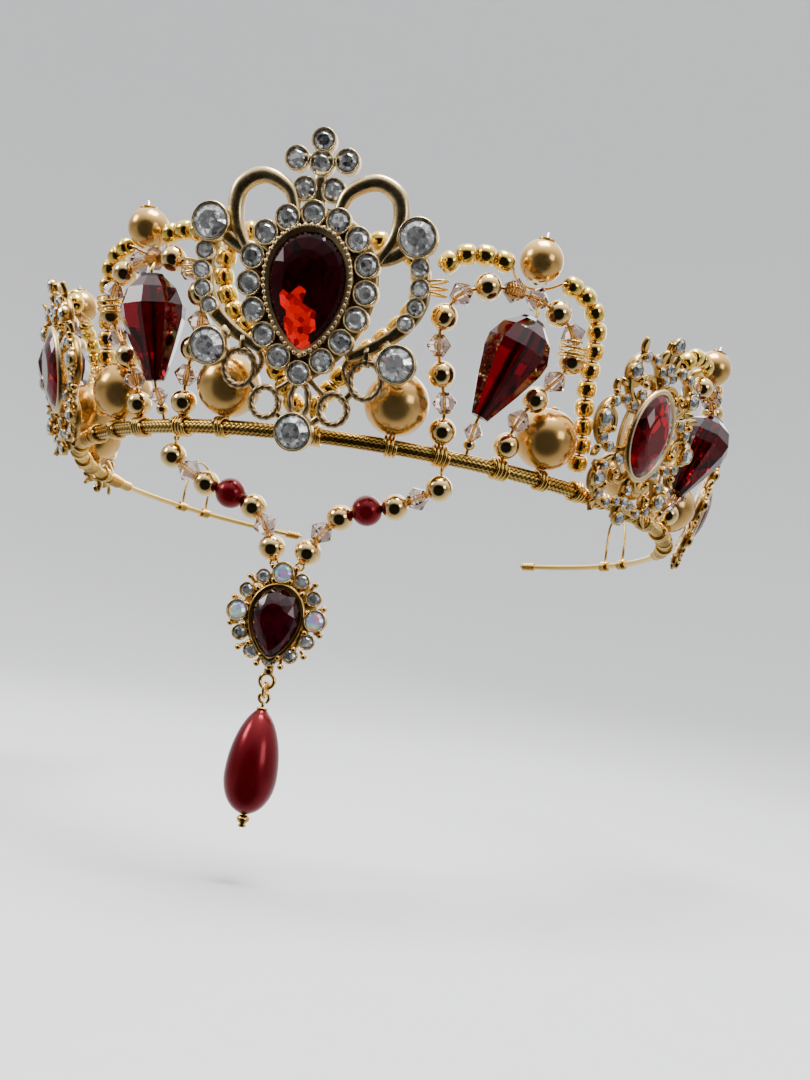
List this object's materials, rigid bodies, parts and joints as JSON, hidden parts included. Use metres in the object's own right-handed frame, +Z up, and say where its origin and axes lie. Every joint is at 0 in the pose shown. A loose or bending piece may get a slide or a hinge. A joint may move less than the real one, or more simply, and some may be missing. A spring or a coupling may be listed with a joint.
{
  "type": "crown",
  "caption": "Open-back wired circlet crown with cast medallions, beaded petals, pearls and a swinging forehead drop.",
  "frame": {"origin": "centre of the oval ring that the head band forms, in the band's plane", "axes": "+Z up as worn, -Y towards the wearer's front, +X to the wearer's left"},
  "size_m": [0.1684, 0.1607, 0.1188],
  "materials": {
    "gold_wire": "polished gold-coloured wire",
    "gold_braid": "braided gold-coloured wire sleeve",
    "cast_gold": "polished pale gold plating on a casting",
    "gold_bead": "polished gold beads strung with clear smoky bicones",
    "seed_gold": "metallic gold glass seed beads",
    "clear_stone": "clear foil-backed rhinestone",
    "red_stone": "dark red faceted glass",
    "pearl": "satin champagne pearl coating",
    "red_pearl": "satin dark red pearl coating"
  },
  "bodies": {
    "crown": {"band_wire": "gold_wire", "braided_sleeve": "gold_braid", "centre_medallion_frame": "cast_gold", "centre_stone": "red_stone", "centre_stone_bezel": "cast_gold", "drop_wire_front_left": "gold_wire", "drop_wire_front_right": "gold_wire", "drop_wire_rear_left": "gold_wire", "drop_wire_rear_right": "gold_wire", "far_medallion_left_frame": "cast_gold", "far_medallion_left_stone": "red_stone", "far_medallion_right_frame": "cast_gold", "far_medallion_right_stone": "red_stone", "pearl_1_left": "pearl", "pearl_1_right": "pearl", "pearl_2_left": "pearl", "pearl_2_right": "pearl", "pearl_3_left": "pearl", "pearl_3_right": "pearl", "pearl_4_left": "pearl", "pearl_4_right": "pearl", "petal_front_left": "gold_bead", "petal_front_right": "gold_bead", "petal_rear_left": "gold_bead", "petal_rear_right": "gold_bead", "rhinestone_bottom": "clear_stone", "rhinestone_lower_left": "clear_stone", "rhinestone_lower_right": "clear_stone", "rhinestone_upper_left": "clear_stone", "rhinestone_upper_right": "clear_stone", "ribbon_loop_left": "gold_wire", "ribbon_loop_right": "gold_wire", "seed_arc_front_left": "seed_gold", "seed_arc_front_right": "seed_gold", "seed_arc_rear_left": "seed_gold", "seed_arc_rear_right": "seed_gold", "seed_heart": "seed_gold", "side_coil_left": "gold_wire", "side_coil_right": "gold_wire", "side_medallion_left_frame": "cast_gold", "side_medallion_left_stone": "red_stone", "side_medallion_right_frame": "cast_gold", "side_medallion_right_stone": "red_stone", "top_pearl_front_left": "pearl", "top_pearl_front_right": "pearl", "top_pearl_rear_left": "pearl", "top_pearl_rear_right": "pearl"},
    "swag": {"swag_strand_left": "gold_bead", "swag_strand_right": "gold_bead"},
    "pendant_cluster": {"pendant_cluster_frame": "cast_gold", "pendant_cluster_stone": "red_stone"},
    "ring": {"jump_ring": "gold_wire"},
    "pendant_drop": {"eye_pin": "gold_wire", "drop_pearl": "red_pearl"},
    "drop_front_left": {"drop_front_left": "red_stone"},
    "drop_front_right": {"drop_front_right": "red_stone"},
    "drop_rear_left": {"drop_rear_left": "red_stone"},
    "drop_rear_right": {"drop_rear_right": "red_stone"}
  },
  "joints": [
    {"name": "swag_swing", "type": "hinge", "parent": "crown", "child": "swag", "pos_m": [0, -0.07137, 0], "axis": [-1, 0, 0], "range_deg": [-20, 60]},
    {"name": "cluster_nod", "type": "hinge", "parent": "swag", "child": "pendant_cluster", "pos_m": [0, -0.07137, -0.0236], "axis": [-1, 0, 0], "range_deg": [-25, 45]},
    {"name": "ring_sway", "type": "hinge", "parent": "pendant_cluster", "child": "ring", "pos_m": [0, -0.07137, -0.04445], "axis": [0, 1, 0], "range_deg": [-40, 40]},
    {"name": "drop_swing", "type": "hinge", "parent": "ring", "child": "pendant_drop", "pos_m": [0, -0.07137, -0.0458], "axis": [-1, 0, 0], "range_deg": [-45, 60]},
    {"name": "drop_front_right_spin", "type": "hinge", "parent": "crown", "child": "drop_front_right", "pos_m": [0.0308, -0.0738, 0.00741], "axis": [0.3732, -0.0914, 0.9232], "continuous": true},
    {"name": "drop_front_left_spin", "type": "hinge", "parent": "crown", "child": "drop_front_left", "pos_m": [-0.03061, -0.07389, 0.00741], "axis": [-0.1327, -0.225, 0.9653], "continuous": true},
    {"name": "drop_rear_right_spin", "type": "hinge", "parent": "crown", "child": "drop_rear_right", "pos_m": [0.07045, -0.03182, 0.00741], "axis": [0.3359, 0.1866, 0.9232], "continuous": true},
    {"name": "drop_rear_left_spin", "type": "hinge", "parent": "crown", "child": "drop_rear_left", "pos_m": [-0.07037, -0.03202, 0.00741], "axis": [-0.2502, -0.0749, 0.9653], "continuous": true}
  ]
}
